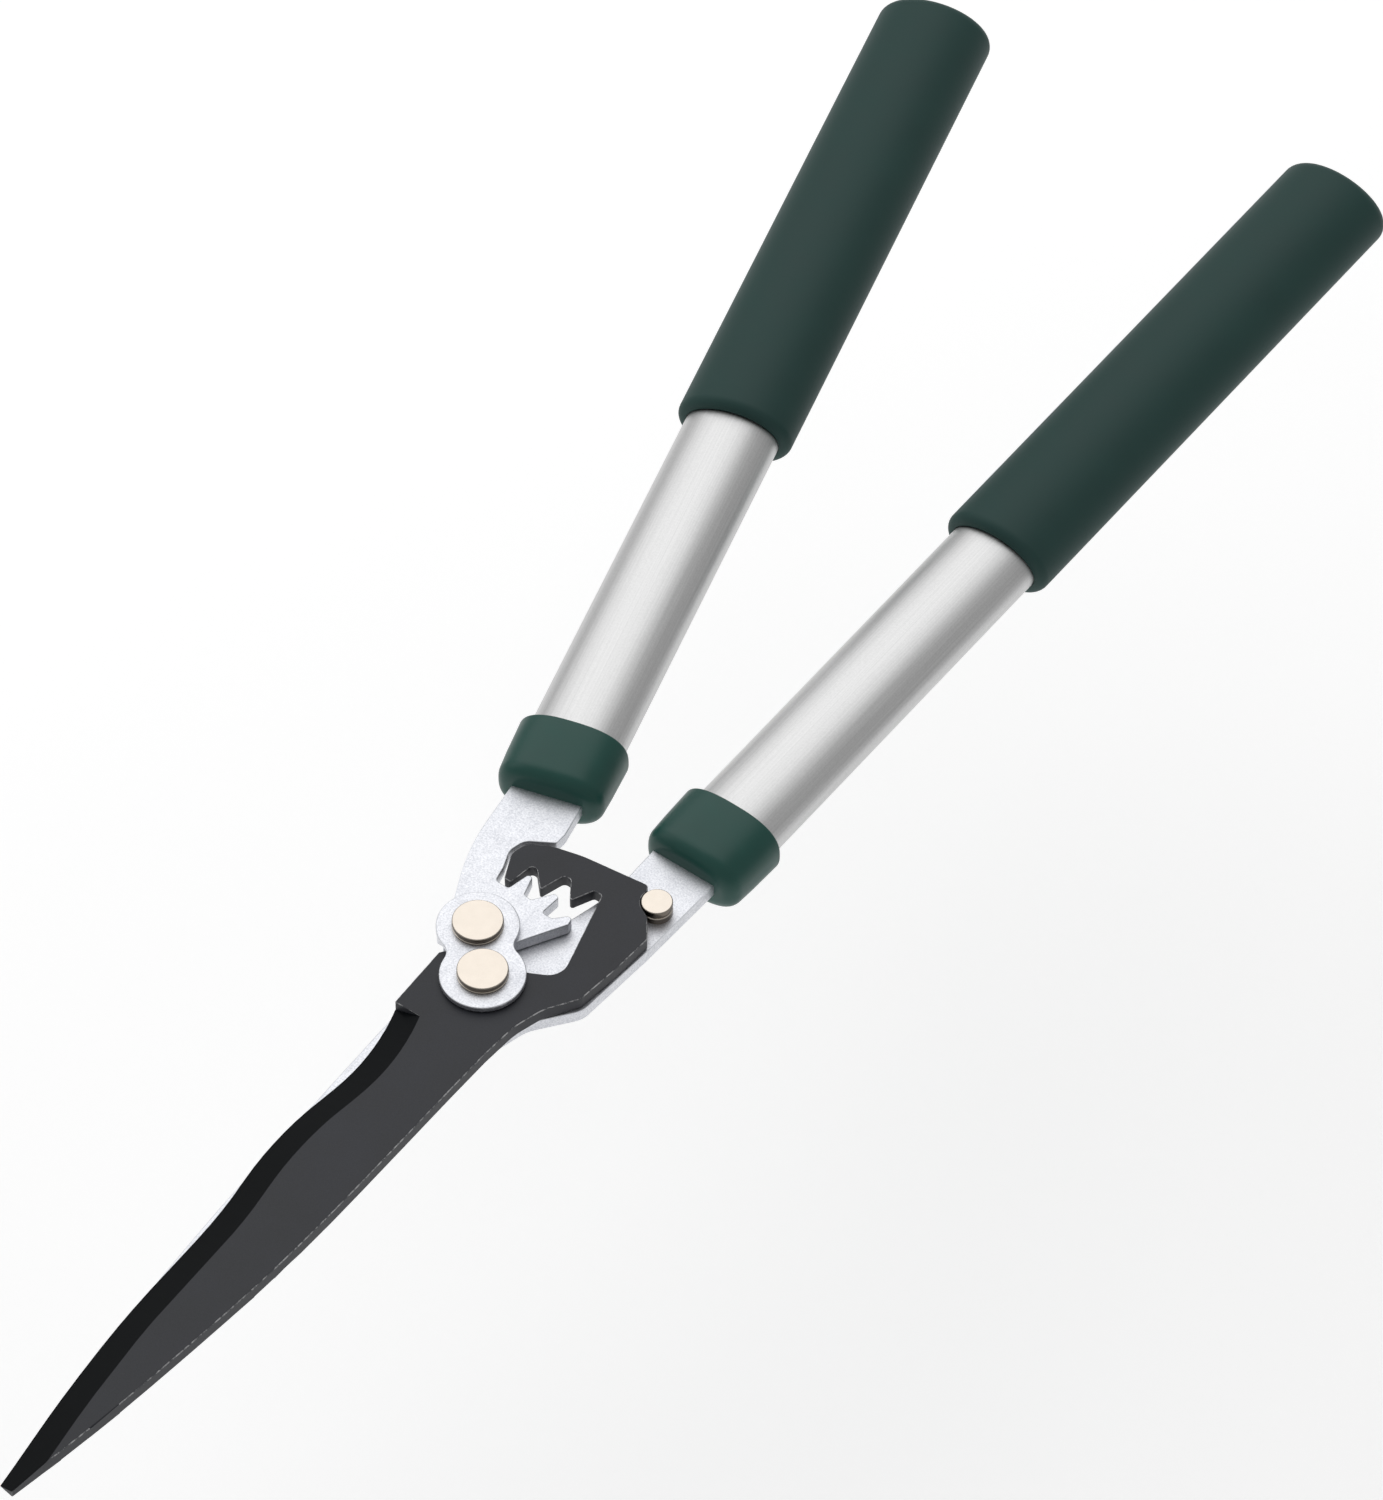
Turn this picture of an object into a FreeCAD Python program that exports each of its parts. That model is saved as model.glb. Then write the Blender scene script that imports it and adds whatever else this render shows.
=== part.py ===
import FreeCAD, Part
import math
import os

# Geared hedge shears, closed.  Millimetres.
# The blade pivot's axis is X = Y = 0, and Z = 0 is the sliding face of the rear blade.
# The blades point along -Y, the handles along +Y, and +Z is the side of the rivet heads.

Vec = FreeCAD.Vector
UP = Vec(0, 0, 1)

# ---- driving dimensions ------------------------------------------------------------
PLATE = 3.8            # thickness of the rear blade, front blade and gear lever
WASHER = 0.3           # thickness of a wear washer, which is also the gap between plates
LINK = 1.7             # thickness of the link plate
HEAD = 2.1             # height of a pivot rivet's front head

CENTRES = 16.0         # from the blade pivot to the lever pivot
CENTRES_ANGLE = 131.2  # direction of the lever pivot from the blade pivot, degrees

SHANK_R = 4.5          # rivet shank inside the link plate and the moving plates
RUNNING = 0.05         # radial clearance of a moving plate on its rivet
TENON_R = 3.4          # rivet's thinner end, set in the rear plate
HEAD_R = 6.75
HEAD_CHAMFER = 0.45
BACK_HEAD_R = 5.6
BACK_HEAD = 1.3
BACK_DOME = 1.0        # width of the sloping rim of a rivet's back head
LEVER_HUB_R = 7.7
LEVER_HEAD_R = 10.7    # round back of the lever's head, away from the blade's hub
REAR_HUB_R = 9.0
HUB_GAP = 0.3          # between the two hubs that turn side by side
WASHER_INSET = 0.5     # a wear washer is this much smaller than the hub it carries

LINK_LEVER_R = 10.9    # the link plate's two round lobes and the rounding between them
LINK_BLADE_R = 11.3
LINK_WAIST_R = 4.0
LINK_EDGE_R = 0.3

STOP_X = 21.6          # stop rivet, which the hook's notch rests on when the shears close
STOP_Y = 46.4
STOP_R = 4.15
STOP_NOTCH_R = 4.4
STOP_TENON_R = 2.6
STOP_BACK_R = 4.2
STOP_BACK = 1.0
STOP_STAND = 0.4       # the stop's top stands this far above the front plates
STOP_CHAMFER = 0.4

BEVEL_WIDTH = 8.0      # ground bevel along a cutting edge
EDGE_LAND = 0.35       # height of the flat land left at the cutting edge
SHOULDER_Y = -19.3     # where the ground bevel starts
TIP_Y = -197.3

LEFT_ANGLE = 104.9     # direction of the left handle, degrees
LEFT_SHIFT = 0.25      # the left handle's axis passes the lever pivot at this distance
LEFT_START = 47.4      # from the lever pivot to the collar's lower end
RIGHT_ANGLE = 88.97
RIGHT_FOOT_X = 18.8    # where the right handle's axis passes the blade pivot
RIGHT_START = 62.0
RIGHT_TANG_SHIFT = -1.3

TUBE_A = 13.3          # half width of the oval tube
TUBE_B = 8.0           # half thickness of the oval tube
TUBE_WALL = 1.2
TUBE_START = 3.0       # stations along a handle are measured from the collar's lower end
TUBE_END = 286.5
COLLAR_A = 15.4
COLLAR_B = 10.1
COLLAR_LENGTH = 20.1
COLLAR_ROUNDING = 2.4
COLLAR_EDGE_R = 0.5    # rounding of the collar's edge where the tube comes out
COLLAR_POWER = 2.6     # exponent of the collar's superellipse section
COLLAR_POINTS = 48     # points its section is drawn through
GRIP_A = 16.3
GRIP_B = 11.6
GRIP_START = 134.8
LEFT_GRIP_END = 294.0
RIGHT_GRIP_END = 295.8
GRIP_START_ROUNDING = 2.8
GRIP_END_ROUNDING = 4.0
TANG_HALF = 9.9        # half width of a tang where it enters its collar
TANG_INNER_HALF = 8.4  # half width of a tang inside its tube
TANG_NECK = 1.5        # the tang narrows between these two stations
TANG_NARROW = 4.5
TANG_END = 46.0
TANG_CORNER_R = 2.0
PLUG_END = 50.0
SLOT_CLEARANCE = 0.2   # between a tang and the slot in its collar
PIN_R = 2.0
PIN_X = 5.0            # the two cross pins of a handle stand this far from its axis
PIN_STATION = 11.0
CAP_FLANGE = 1.4
CAP_DEPTH = 14.0
CAP_WALL = 2.0
CAP_FLOOR = 1.5

# ---- levels of the stack -----------------------------------------------------------
REAR_Z = -PLATE
FRONT_Z = WASHER
FRONT_TOP = FRONT_Z + PLATE
LINK_Z = FRONT_TOP + WASHER
LINK_TOP = LINK_Z + LINK
HEAD_TOP = LINK_TOP + HEAD

BLADE_HUB_R = CENTRES - LEVER_HUB_R - HUB_GAP


def polar(centre, radius, degrees):
    """Point at a radius and direction from a centre."""
    turn = math.radians(degrees)
    return (centre[0] + radius * math.cos(turn), centre[1] + radius * math.sin(turn))


BLADE_PIVOT = (0.0, 0.0)
LEVER_PIVOT = polar(BLADE_PIVOT, CENTRES, CENTRES_ANGLE)
STOP = (STOP_X, STOP_Y)


# ---- outlines ----------------------------------------------------------------------
def flat(point):
    return Vec(point[0], point[1], 0)


def round_corner(before, corner, after, radius):
    """Start, middle and end of the arc that rounds a corner between two straight lines."""
    to_before = (before - corner).normalize()
    to_after = (after - corner).normalize()
    half = to_before.getAngle(to_after) / 2
    reach = radius / math.tan(half)
    bisector = (to_before + to_after).normalize()
    middle = corner + bisector * (radius / math.sin(half) - radius)
    return corner + to_before * reach, middle, corner + to_after * reach


def outline(steps):
    """Closed wire.  A step is (x, y) for a sharp corner, (x, y, r) for a corner rounded to r,
    ("arc", through, end), or ("curve", points) for a smooth curve that ends at its last point."""
    def target(step):
        if step[0] == "arc":
            return flat(step[2])
        if step[0] == "curve":
            return flat(step[1][-1])
        return flat(step)

    ends = [target(step) for step in steps]
    edges = []
    here = ends[-1]
    for i, step in enumerate(steps):
        if step[0] == "arc":
            edges.append(Part.Arc(here, flat(step[1]), ends[i]).toShape())
            here = ends[i]
        elif step[0] == "curve":
            curve = Part.BSplineCurve()
            curve.interpolate([here] + [flat(p) for p in step[1]])
            edges.append(curve.toShape())
            here = ends[i]
        elif len(step) == 3:
            start, middle, end = round_corner(here, ends[i], ends[(i + 1) % len(ends)], step[2])
            edges.append(Part.makeLine(here, start))
            edges.append(Part.Arc(start, middle, end).toShape())
            here = end
        else:
            edges.append(Part.makeLine(here, ends[i]))
            here = ends[i]
    return Part.Wire(edges)


def slab(wire, z, height):
    """Plate of the given outline standing on level z."""
    plate = Part.Face(wire).extrude(Vec(0, 0, height))
    plate.translate(Vec(0, 0, z))
    return plate


def disc(centre, radius, z, height):
    return Part.makeCylinder(radius, height, Vec(centre[0], centre[1], z), UP)


def handle_point(angle, foot, x, y):
    """Point of a handle: x across its axis and y along it from the foot."""
    along = polar((0, 0), y, angle)
    across = polar((0, 0), x, angle - 90)
    return (foot[0] + along[0] + across[0], foot[1] + along[1] + across[1])


def left_point(x, y):
    return handle_point(LEFT_ANGLE, LEVER_PIVOT, x + LEFT_SHIFT, LEFT_START + y)


def right_point(x, y):
    return handle_point(RIGHT_ANGLE, (RIGHT_FOOT_X, 0), x, RIGHT_START + y)


def tang(point, shift):
    """Steps round a tang's end, from its right side at the collar to its left side."""
    return [
        point(TANG_HALF + shift, 0),
        point(TANG_HALF + shift, TANG_NECK),
        point(TANG_INNER_HALF, TANG_NARROW),
        point(TANG_INNER_HALF, TANG_END) + (TANG_CORNER_R,),
        point(-TANG_INNER_HALF, TANG_END) + (TANG_CORNER_R,),
        point(-TANG_INNER_HALF, TANG_NARROW),
        point(-TANG_HALF + shift, TANG_NECK),
        point(-TANG_HALF + shift, 0),
    ]


# cutting edge, spine and tip of the front blade, from the shoulder to the tip
FRONT_EDGE = [(-12.3, -24.5), (-10.8, -33), (-10.4, -41), (-11.0, -49), (-12.4, -59), (-13.0, -70),
              (-12.5, -81), (-11.0, -93), (-10.3, -104), (-10.2, -120), (-9.9, -137), (-8.7, -154),
              (-6.9, -171), (-5.1, -184), (-3.4, TIP_Y + 0.8)]
FRONT_SPINE = [(14.7, -40), (14.4, -65), (13.8, -88), (12.6, -110), (10.7, -130), (8.3, -151),
               (5.6, -171), (3.1, -186), (1.0, TIP_Y)]
FRONT_SHOULDER = (-13.8, SHOULDER_Y)

REAR_EDGE = [(10.8, -30), (9.7, -42), (10.4, -58), (11.3, -72), (10.7, -88), (9.2, -105),
             (8.6, -122), (7.6, -140), (5.9, -158), (3.4, -176), (0.4, TIP_Y + 1.2)]
REAR_SPINE = [(-13.0, -40), (-12.7, -60), (-12.3, -85), (-11.4, -110), (-10.2, -130), (-9.1, -145),
              (-7.6, -160), (-5.4, -178), (-3.0, TIP_Y + 1.6)]
REAR_SHOULDER = (12.6, SHOULDER_Y)
REAR_SPINE_TOP = (-13.2, SHOULDER_Y)


def bevel_cutter(edge, start, into, z_edge, z_face):
    """Solid that grinds the bevel: its slope passes through the cutting edge at z_edge and
    through a line BEVEL_WIDTH further into the blade at z_face, and runs on half as far again."""
    low_z = z_edge - (z_face - z_edge) / 2
    high_z = z_face + (z_face - z_edge) / 2
    width = into * BEVEL_WIDTH
    last = edge[-1]
    before = edge[-2]
    past_tip = (2 * last[0] - before[0], 2 * last[1] - before[1])
    sections = []
    for x, y in [start] + edge + [past_tip]:
        high = Vec(x + 1.5 * width, y, high_z)
        low = Vec(x - 0.5 * width, y, low_z)
        far_low = Vec(x - 1.5 * width, y, low_z)
        far_high = Vec(x - 1.5 * width, y, high_z)
        sections.append(Part.makePolygon([high, low, far_low, far_high, high]))
    return Part.makeLoft(sections, True, False)


def front_blade():
    """Front blade with the toothed hook behind its pivot."""
    hub_seam = polar(BLADE_PIVOT, BLADE_HUB_R, CENTRES_ANGLE)
    cup_r = LEVER_HUB_R + HUB_GAP
    steps = [
        (-14.3, 0.2, 0.8),
        polar(LEVER_PIVOT, cup_r, 264),
        ("arc", polar(LEVER_PIVOT, cup_r, 288), hub_seam),
        ("arc", polar(BLADE_PIVOT, BLADE_HUB_R, 113), polar(BLADE_PIVOT, BLADE_HUB_R, 95)),
        (7.6, 8.0, 6.0),
        (16.1, 12.3, 5.5),
        # notches and teeth on the inside of the hook
        (8.7, 39.9, 0.95),
        (6.2, 39.9, 0.95),
        (3.0, 33.45, 0.7),
        (-0.9, 39.4, 1.4),
        (-3.0, 39.4, 1.4),
        (-5.4, 32.0, 0.5),
        (-10.1, 37.0, 1.3),
        (-11.75, 37.0, 1.0),
        (-13.0, 29.6, 0.9),
        (-15.2, 29.6, 1.0),
        # outside of the hook
        (-18.6, 37.5, 4.0),
        (-17.5, 41.9, 4.0),
        (-12.2, 45.25, 6.0),
        (-3.0, 47.5, 30.0),
        (16.4, 49.6, 1.2),
        polar(STOP, STOP_NOTCH_R, 162),
        ("arc", polar(STOP, STOP_NOTCH_R, 200), polar(STOP, STOP_NOTCH_R, 240)),
        (22.4, 41.0, 2.0),
        (26.75, 35.0, 1.2),
        (26.0, 23.0, 80.0),
        (24.4, 9.4, 4.0),
        (18.6, 0.8, 12.0),
        (15.9, -8.0, 20.0),
        (15.1, SHOULDER_Y),
        ("curve", FRONT_SPINE),
        (FRONT_EDGE[-1][0], FRONT_EDGE[-1][1]),
        ("curve", FRONT_EDGE[-2::-1] + [FRONT_SHOULDER]),
    ]
    blade = slab(outline(steps), FRONT_Z, PLATE)
    blade = blade.cut(bevel_cutter(FRONT_EDGE, FRONT_SHOULDER, 1, FRONT_Z + EDGE_LAND, FRONT_TOP))
    return blade.cut(disc(BLADE_PIVOT, SHANK_R + RUNNING, FRONT_Z - 1, PLATE + 2))


def gear_lever():
    """Left lever: a toothed head that turns on the lever pivot, and the left handle's tang."""
    steps = [
        (7.35, 27.0, 0.4),
        (7.0, 29.3, 0.8),
        (5.6, 29.2, 1.5),
        (2.7, 26.2, 1.5),
        (-0.5, 26.2, 0.9),
        (0.15, 32.8, 0.7),
        (-1.5, 33.2, 0.7),
        (-5.3, 28.0, 0.5),
        (-7.7, 28.2, 0.8),
        (-9.4, 34.2, 0.7),
        (-10.8, 34.2, 1.0),
        # pocket that the hook's nose turns in
        (-12.35, 27.7, 0.9),
        (-16.5, 27.7, 1.3),
        (-17.5, 32.5, 6.0),
        (-19.5, 37.8, 4.4),
        (-18.3, 42.5, 4.4),
        (-11.0, 46.9, 1.0),
        (-10.9, 50.5, 6.0),
    ] + tang(left_point, 0) + [
        (-28.9, 32.0, 70.0),
        polar(LEVER_PIVOT, LEVER_HEAD_R, 165),
        ("arc", polar(LEVER_PIVOT, LEVER_HEAD_R, 195), polar(LEVER_PIVOT, LEVER_HEAD_R, 225)),
        polar(LEVER_PIVOT, LEVER_HUB_R, 270),
        ("arc", polar(LEVER_PIVOT, LEVER_HUB_R, 300), polar(LEVER_PIVOT, LEVER_HUB_R, 330)),
    ]
    lever = slab(outline(steps), FRONT_Z, PLATE)
    lever = lever.cut(disc(LEVER_PIVOT, SHANK_R + RUNNING, FRONT_Z - 1, PLATE + 2))
    return lever.cut(pins(left_point, FRONT_Z + PLATE / 2))


def rear_blade():
    """Rear blade, the plate that holds both pivots, and the right handle's tang, in one piece."""
    steps = [
        (-13.6, 0.5, 2.0),
        polar(LEVER_PIVOT, REAR_HUB_R, 222),
        ("arc", polar(LEVER_PIVOT, REAR_HUB_R, 155), polar(LEVER_PIVOT, REAR_HUB_R, 88)),
        (-2.5, 24.0, 8.0),
        (4.6, 29.6, 4.0),
        (7.0, 38.5, 12.0),
        (8.7, 47.0, 12.0),
    ] + tang(right_point, RIGHT_TANG_SHIFT)[::-1] + [
        (27.3, 34.0, 100.0),
        (25.3, 9.0, 7.0),
        (16.0, -2.6, 10.0),
        (13.6, -11.0, 8.0),
        REAR_SHOULDER,
        ("curve", REAR_EDGE),
        REAR_SPINE[-1],
        ("curve", REAR_SPINE[-2::-1] + [REAR_SPINE_TOP]),
    ]
    plate = slab(outline(steps), REAR_Z, PLATE)
    plate = plate.cut(bevel_cutter(REAR_EDGE, REAR_SHOULDER, -1, -EDGE_LAND, REAR_Z))
    for centre, radius in ((BLADE_PIVOT, TENON_R), (LEVER_PIVOT, TENON_R), (STOP, STOP_TENON_R)):
        plate = plate.cut(disc(centre, radius, REAR_Z - 1, PLATE + 2))
    return plate.cut(pins(right_point, REAR_Z + PLATE / 2))


def at_level(point, z):
    return Vec(point[0], point[1], z)


def link_plate():
    """Figure-of-eight plate that ties the two rivets together in front."""
    plate = disc(LEVER_PIVOT, LINK_LEVER_R, LINK_Z, LINK)
    plate = plate.fuse(disc(BLADE_PIVOT, LINK_BLADE_R, LINK_Z, LINK))
    # a waist arc touches both lobes, so its centre stands at these distances from the pivots
    from_lever = LINK_LEVER_R + LINK_WAIST_R
    from_blade = LINK_BLADE_R + LINK_WAIST_R
    along = (CENTRES ** 2 + from_blade ** 2 - from_lever ** 2) / (2 * CENTRES)
    aside = math.sqrt(from_blade ** 2 - along ** 2)
    on_line = polar(BLADE_PIVOT, along, CENTRES_ANGLE)
    for side in (-1, 1):
        centre = polar(on_line, side * aside, CENTRES_ANGLE + 90)
        corners = [at_level(p, LINK_Z) for p in (BLADE_PIVOT, centre, LEVER_PIVOT, BLADE_PIVOT)]
        web = Part.Face(Part.makePolygon(corners)).extrude(Vec(0, 0, LINK))
        plate = plate.fuse(web.cut(disc(centre, LINK_WAIST_R, LINK_Z - 1, LINK + 2)))
    plate = plate.removeSplitter()
    rim = [edge for edge in plate.Edges if edge.BoundBox.ZMin > LINK_TOP - 0.01]
    plate = plate.makeFillet(LINK_EDGE_R, rim)
    for centre in (BLADE_PIVOT, LEVER_PIVOT):
        plate = plate.cut(disc(centre, SHANK_R, LINK_Z - 1, LINK + 2))
    return plate


def revolve(profile, centre):
    """Solid of revolution about a vertical axis, from (radius, z) points."""
    wire = Part.makePolygon([Vec(r, 0, z) for r, z in profile + profile[:1]])
    solid = Part.Face(wire).revolve(Vec(0, 0, 0), UP, 360)
    solid.translate(flat(centre))
    return solid


def pivot_rivet(centre):
    """Shoulder rivet: turned head, running shank, and a thinner end headed over at the back."""
    back = REAR_Z - BACK_HEAD
    return revolve([
        (0, HEAD_TOP),
        (HEAD_R - HEAD_CHAMFER, HEAD_TOP),
        (HEAD_R, HEAD_TOP - HEAD_CHAMFER),
        (HEAD_R, LINK_TOP),
        (SHANK_R, LINK_TOP),
        (SHANK_R, 0),
        (TENON_R, 0),
        (TENON_R, REAR_Z),
        (BACK_HEAD_R, REAR_Z),
        (BACK_HEAD_R, back + BACK_DOME / 2),
        (BACK_HEAD_R - BACK_DOME, back),
        (0, back)], centre)


def stop_rivet():
    """Plain stud riveted to the rear plate, beside the hook's notch."""
    top = FRONT_TOP + STOP_STAND
    back = REAR_Z - STOP_BACK
    return revolve([
        (0, top),
        (STOP_R - STOP_CHAMFER, top),
        (STOP_R, top - STOP_CHAMFER),
        (STOP_R, 0),
        (STOP_TENON_R, 0),
        (STOP_TENON_R, REAR_Z),
        (STOP_BACK_R, REAR_Z),
        (STOP_BACK_R, back + STOP_CHAMFER),
        (STOP_BACK_R - STOP_CHAMFER, back),
        (0, back)], STOP)


def wear_washers(z):
    """Pair of thin washers, one on each pivot rivet."""
    rings = []
    for centre, hub_r in ((BLADE_PIVOT, BLADE_HUB_R), (LEVER_PIVOT, LEVER_HUB_R)):
        ring = disc(centre, hub_r - WASHER_INSET, z, WASHER)
        rings.append(ring.cut(disc(centre, SHANK_R, z, WASHER)))
    return Part.makeCompound(rings)


# ---- handles -----------------------------------------------------------------------
def superellipse(half_width, half_height, y):
    """Closed wire of the collar's section at station y."""
    points = []
    for i in range(COLLAR_POINTS):
        turn = 2 * math.pi * i / COLLAR_POINTS
        c = math.cos(turn)
        s = math.sin(turn)
        x = half_width * math.copysign(abs(c) ** (2 / COLLAR_POWER), c)
        z = half_height * math.copysign(abs(s) ** (2 / COLLAR_POWER), s)
        points.append(Vec(x, y, z))
    curve = Part.BSplineCurve()
    curve.interpolate(points, PeriodicFlag=True)
    return Part.Wire([curve.toShape()])


def oval_rod(half_width, half_height, y_start, y_end):
    """Elliptical rod along a handle."""
    ellipse = Part.Ellipse(Vec(half_width, y_start, 0), Vec(0, y_start, half_height),
                           Vec(0, y_start, 0))
    return Part.Face(Part.Wire([ellipse.toShape()])).extrude(Vec(0, y_end - y_start, 0))


def start_edges(shape, y):
    return [edge for edge in shape.Edges if edge.BoundBox.YMax < y + 0.01]


def end_edges(shape, y):
    return [edge for edge in shape.Edges if edge.BoundBox.YMin > y - 0.01]


def place(shape, point, z):
    """Move a handle part from its own axes, with Y along the handle, to its place."""
    start = point(0, 0)
    ahead = point(0, 1)
    angle = math.degrees(math.atan2(ahead[1] - start[1], ahead[0] - start[0])) - 90
    placed = shape.copy()
    placed.rotate(Vec(0, 0, 0), UP, angle)
    placed.translate(Vec(start[0], start[1], z))
    return placed


def pin_rods():
    """The two cross pins of a handle, just short of the tube's outside."""
    half = TUBE_B * math.sqrt(1 - ((PIN_X + PIN_R) / TUBE_A) ** 2)
    rods = []
    for x in (-PIN_X, PIN_X):
        rods.append(Part.makeCylinder(PIN_R, 2 * half, Vec(x, PIN_STATION, -half), UP))
    return Part.makeCompound(rods)


def pins(point, z):
    return place(pin_rods(), point, z)


def tube():
    """Oval tube, open at both ends."""
    outer = oval_rod(TUBE_A, TUBE_B, TUBE_START, TUBE_END)
    inner = oval_rod(TUBE_A - TUBE_WALL, TUBE_B - TUBE_WALL, TUBE_START - 1, TUBE_END + 1)
    return outer.cut(inner).cut(pin_rods())


def tang_plug(shift):
    """Moulded insert that fills the tube round the tang."""
    plug = oval_rod(TUBE_A - TUBE_WALL, TUBE_B - TUBE_WALL, TUBE_START, PLUG_END)
    slot = Part.makeBox(2 * TANG_INNER_HALF, TANG_END, PLATE,
                        Vec(-TANG_INNER_HALF, 0, -PLATE / 2))
    mouth = Part.Face(Part.makePolygon([
        Vec(-TANG_HALF + shift, 0, -PLATE / 2),
        Vec(TANG_HALF + shift, 0, -PLATE / 2),
        Vec(TANG_HALF + shift, TANG_NECK, -PLATE / 2),
        Vec(TANG_INNER_HALF, TANG_NARROW, -PLATE / 2),
        Vec(-TANG_INNER_HALF, TANG_NARROW, -PLATE / 2),
        Vec(-TANG_HALF + shift, TANG_NECK, -PLATE / 2),
        Vec(-TANG_HALF + shift, 0, -PLATE / 2)])).extrude(Vec(0, 0, PLATE))
    return plug.cut(slot).cut(mouth).cut(pin_rods())


def collar(shift):
    """Moulded collar over the tube's lower end, closed but for the tang's slot."""
    body = Part.Face(superellipse(COLLAR_A, COLLAR_B, 0)).extrude(Vec(0, COLLAR_LENGTH, 0))
    body = body.makeFillet(COLLAR_ROUNDING, start_edges(body, 0))
    body = body.makeFillet(COLLAR_EDGE_R, end_edges(body, COLLAR_LENGTH))
    bore = oval_rod(TUBE_A, TUBE_B, TUBE_START, COLLAR_LENGTH + 1)
    slot_half = TANG_HALF + SLOT_CLEARANCE
    slot_high = PLATE / 2 + SLOT_CLEARANCE
    slot = Part.makeBox(2 * slot_half, TUBE_START + 1, 2 * slot_high,
                        Vec(shift - slot_half, -1, -slot_high))
    return body.cut(bore).cut(slot)


def grip(end):
    """Soft closed-end sleeve over the outer half of the tube."""
    body = oval_rod(GRIP_A, GRIP_B, GRIP_START, end)
    body = body.makeFillet(GRIP_START_ROUNDING, start_edges(body, GRIP_START))
    body = body.makeFillet(GRIP_END_ROUNDING, end_edges(body, end))
    return body.cut(oval_rod(TUBE_A, TUBE_B, GRIP_START - 1, TUBE_END + CAP_FLANGE))


def end_plug():
    """Push-in plug that closes the tube's outer end under the grip."""
    stem_a = TUBE_A - TUBE_WALL
    stem_b = TUBE_B - TUBE_WALL
    flange = oval_rod(TUBE_A, TUBE_B, TUBE_END, TUBE_END + CAP_FLANGE)
    stem = oval_rod(stem_a, stem_b, TUBE_END - CAP_DEPTH, TUBE_END)
    core = oval_rod(stem_a - CAP_WALL, stem_b - CAP_WALL, TUBE_END - CAP_DEPTH - 1,
                    TUBE_END - CAP_FLOOR)
    return flange.fuse(stem).removeSplitter().cut(core)


nodes = {
    "rear_blade": rear_blade(),
    "front_blade": front_blade(),
    "gear_lever": gear_lever(),
    "link_plate": link_plate(),
    "lever_pivot_rivet": pivot_rivet(LEVER_PIVOT),
    "blade_pivot_rivet": pivot_rivet(BLADE_PIVOT),
    "stop_rivet": stop_rivet(),
    "rear_wear_washers": wear_washers(0),
    "front_wear_washers": wear_washers(FRONT_TOP),
}

for side, point, z, shift, grip_end in (
        ("left", left_point, FRONT_Z + PLATE / 2, 0, LEFT_GRIP_END),
        ("right", right_point, REAR_Z + PLATE / 2, RIGHT_TANG_SHIFT, RIGHT_GRIP_END)):
    nodes[side + "_tube"] = place(tube(), point, z)
    nodes[side + "_collar"] = place(collar(shift), point, z)
    nodes[side + "_grip"] = place(grip(grip_end), point, z)
    nodes[side + "_tang_plug"] = place(tang_plug(shift), point, z)
    nodes[side + "_cross_pins"] = pins(point, z)
    nodes[side + "_end_plug"] = place(end_plug(), point, z)

os.makedirs("parts", exist_ok=True)
for name, shape in nodes.items():
    shape.exportStep("parts/" + name + ".step")
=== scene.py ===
import math

import bmesh
import bpy
from mathutils import Matrix, Vector


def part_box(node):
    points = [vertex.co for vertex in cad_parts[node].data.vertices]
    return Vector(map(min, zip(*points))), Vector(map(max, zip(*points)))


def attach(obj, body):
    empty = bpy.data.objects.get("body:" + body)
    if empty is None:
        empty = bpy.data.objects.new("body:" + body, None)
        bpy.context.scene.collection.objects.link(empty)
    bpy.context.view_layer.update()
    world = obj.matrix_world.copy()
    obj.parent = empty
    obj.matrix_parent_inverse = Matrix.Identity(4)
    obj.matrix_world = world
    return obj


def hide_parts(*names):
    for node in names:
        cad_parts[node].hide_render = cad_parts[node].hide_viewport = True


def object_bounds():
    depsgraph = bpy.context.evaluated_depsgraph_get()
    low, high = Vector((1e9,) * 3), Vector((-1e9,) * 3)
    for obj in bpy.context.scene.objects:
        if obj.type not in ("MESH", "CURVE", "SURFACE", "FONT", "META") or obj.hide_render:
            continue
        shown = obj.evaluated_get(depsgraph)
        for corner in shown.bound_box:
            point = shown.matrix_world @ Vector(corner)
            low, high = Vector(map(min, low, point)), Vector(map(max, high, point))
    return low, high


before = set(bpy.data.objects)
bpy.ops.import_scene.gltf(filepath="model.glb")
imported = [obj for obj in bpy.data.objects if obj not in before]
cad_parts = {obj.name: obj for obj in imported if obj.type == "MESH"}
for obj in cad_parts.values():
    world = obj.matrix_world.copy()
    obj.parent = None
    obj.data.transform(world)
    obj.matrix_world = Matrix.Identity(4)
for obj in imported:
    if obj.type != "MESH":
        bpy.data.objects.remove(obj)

cad_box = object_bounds()
MM = 0.001

# ---- rear blade, with the right handle's tang ----------------------------------------
# One plate of spring steel: the rear blade, the seat of both pivots and the tang of the
# right handle. It is cut out, ground along one edge, tumbled until its edges are broken,
# and bright zinc plated, which leaves a fine frosty grain.
EDGE_BREAK = 0.22 * MM      # width of a broken edge
LAND = 0.6 * MM             # no wall of the plate but the keen edge's land is lower than this
SEAM = 0.001 * MM           # points nearer than this are one point
FLAT = math.radians(0.5)    # faces that meet at less than this are one face
CORNER = math.radians(35)   # edges that turn by more than this are broken


def linear(code):
    """Linear colour of an sRGB hex code."""
    parts = [int(code[i:i + 2], 16) / 255 for i in (1, 3, 5)]
    return [p / 12.92 if p <= 0.04045 else ((p + 0.055) / 1.055) ** 2.4 for p in parts] + [1.0]


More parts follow.
